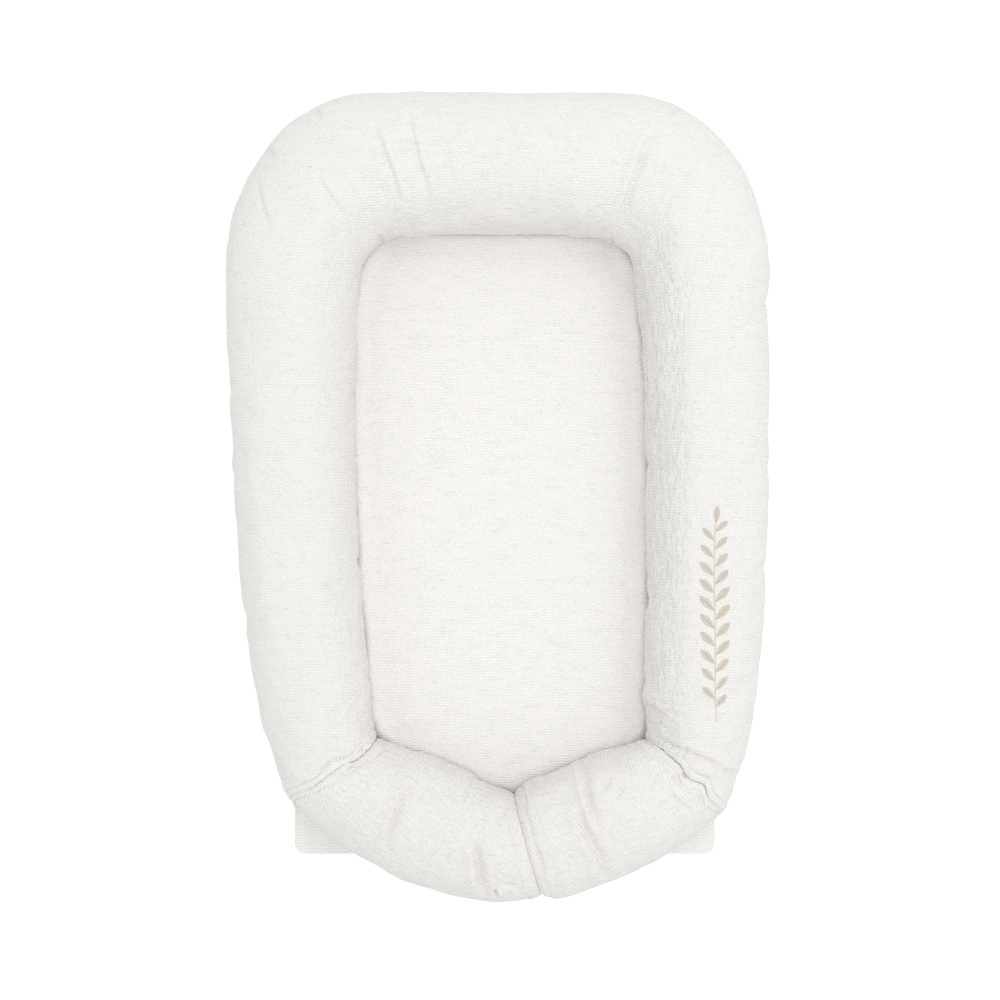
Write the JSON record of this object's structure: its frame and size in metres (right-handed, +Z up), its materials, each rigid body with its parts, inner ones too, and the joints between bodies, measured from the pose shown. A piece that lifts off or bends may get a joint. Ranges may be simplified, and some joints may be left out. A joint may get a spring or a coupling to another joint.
{
  "type": "infant lounger",
  "caption": "Padded fabric lounger for an infant: a flat mat inside a stuffed U-shaped bolster whose ends fold in at stitched creases over a zipped foot edge.",
  "frame": {"origin": "centre of the mat's flat underside, where the lounger rests on the floor", "axes": "+Y towards the head end, +Z up out of the mat, +X to the right seen from above with the head end away"},
  "size_m": [0.5424, 0.8072, 0.1343],
  "materials": {
    "crinkle_cotton": "off-white crinkled cotton with fine ribs",
    "lining_cotton": "plain cream cotton",
    "fibre_filling": "white polyester fibre",
    "woven_tape": "cream woven tape",
    "touch_fastener": "cream hook and loop tape",
    "nylon_coil": "cream nylon",
    "lacquered_zinc": "cream lacquer on zinc"
  },
  "bodies": {
    "lounger": {"mat_upper_cover": "crinkle_cotton", "mat_lower_cover": "lining_cotton", "mat_filling": "fibre_filling", "bolster_cover": "crinkle_cotton", "bolster_filling": "fibre_filling", "bolster_joining_tape": "woven_tape", "left_arm_closing_sheet": "lining_cotton", "right_arm_closing_sheet": "lining_cotton", "left_crease_web": "woven_tape", "right_crease_web": "woven_tape", "zip_upper_tape": "woven_tape", "zip_lower_tape": "woven_tape", "zip_coil": "nylon_coil", "zip_bottom_stop": "nylon_coil", "zip_upper_top_stop": "nylon_coil", "zip_lower_top_stop": "nylon_coil"},
    "left_folded_end": {"left_end_cover": "crinkle_cotton", "left_end_filling": "fibre_filling", "left_end_closing_sheet": "lining_cotton", "left_tip_loop_patch": "touch_fastener"},
    "right_folded_end": {"right_end_cover": "crinkle_cotton", "right_end_filling": "fibre_filling", "right_end_closing_sheet": "lining_cotton", "right_tip_hook_patch": "touch_fastener"},
    "slider": {"zip_slider": "lacquered_zinc"},
    "pull": {"zip_pull": "lacquered_zinc"}
  },
  "joints": [
    {"name": "left_crease_fold", "type": "hinge", "parent": "lounger", "child": "left_folded_end", "pos_m": [-0.2091, -0.2947, 0.066], "axis": [0, 0, -1], "range_deg": [0, 60]},
    {"name": "right_crease_fold", "type": "hinge", "parent": "lounger", "child": "right_folded_end", "pos_m": [0.2167, -0.3014, 0.066], "axis": [0, 0, 1], "range_deg": [0, 60]},
    {"name": "zip_slide", "type": "slide", "parent": "lounger", "child": "slider", "axis": [-1, 0, 0], "range_m": [0, 0.26], "deforming": ["zip_coil"]},
    {"name": "pull_hinge", "type": "hinge", "parent": "slider", "child": "pull", "pos_m": [0.1355, -0.36215, 0.008], "axis": [0, 0, 1], "range_deg": [0, 175]}
  ],
  "couplings": [
    {"joint": "right_crease_fold", "follows": "left_crease_fold", "ratio": 1}
  ]
}
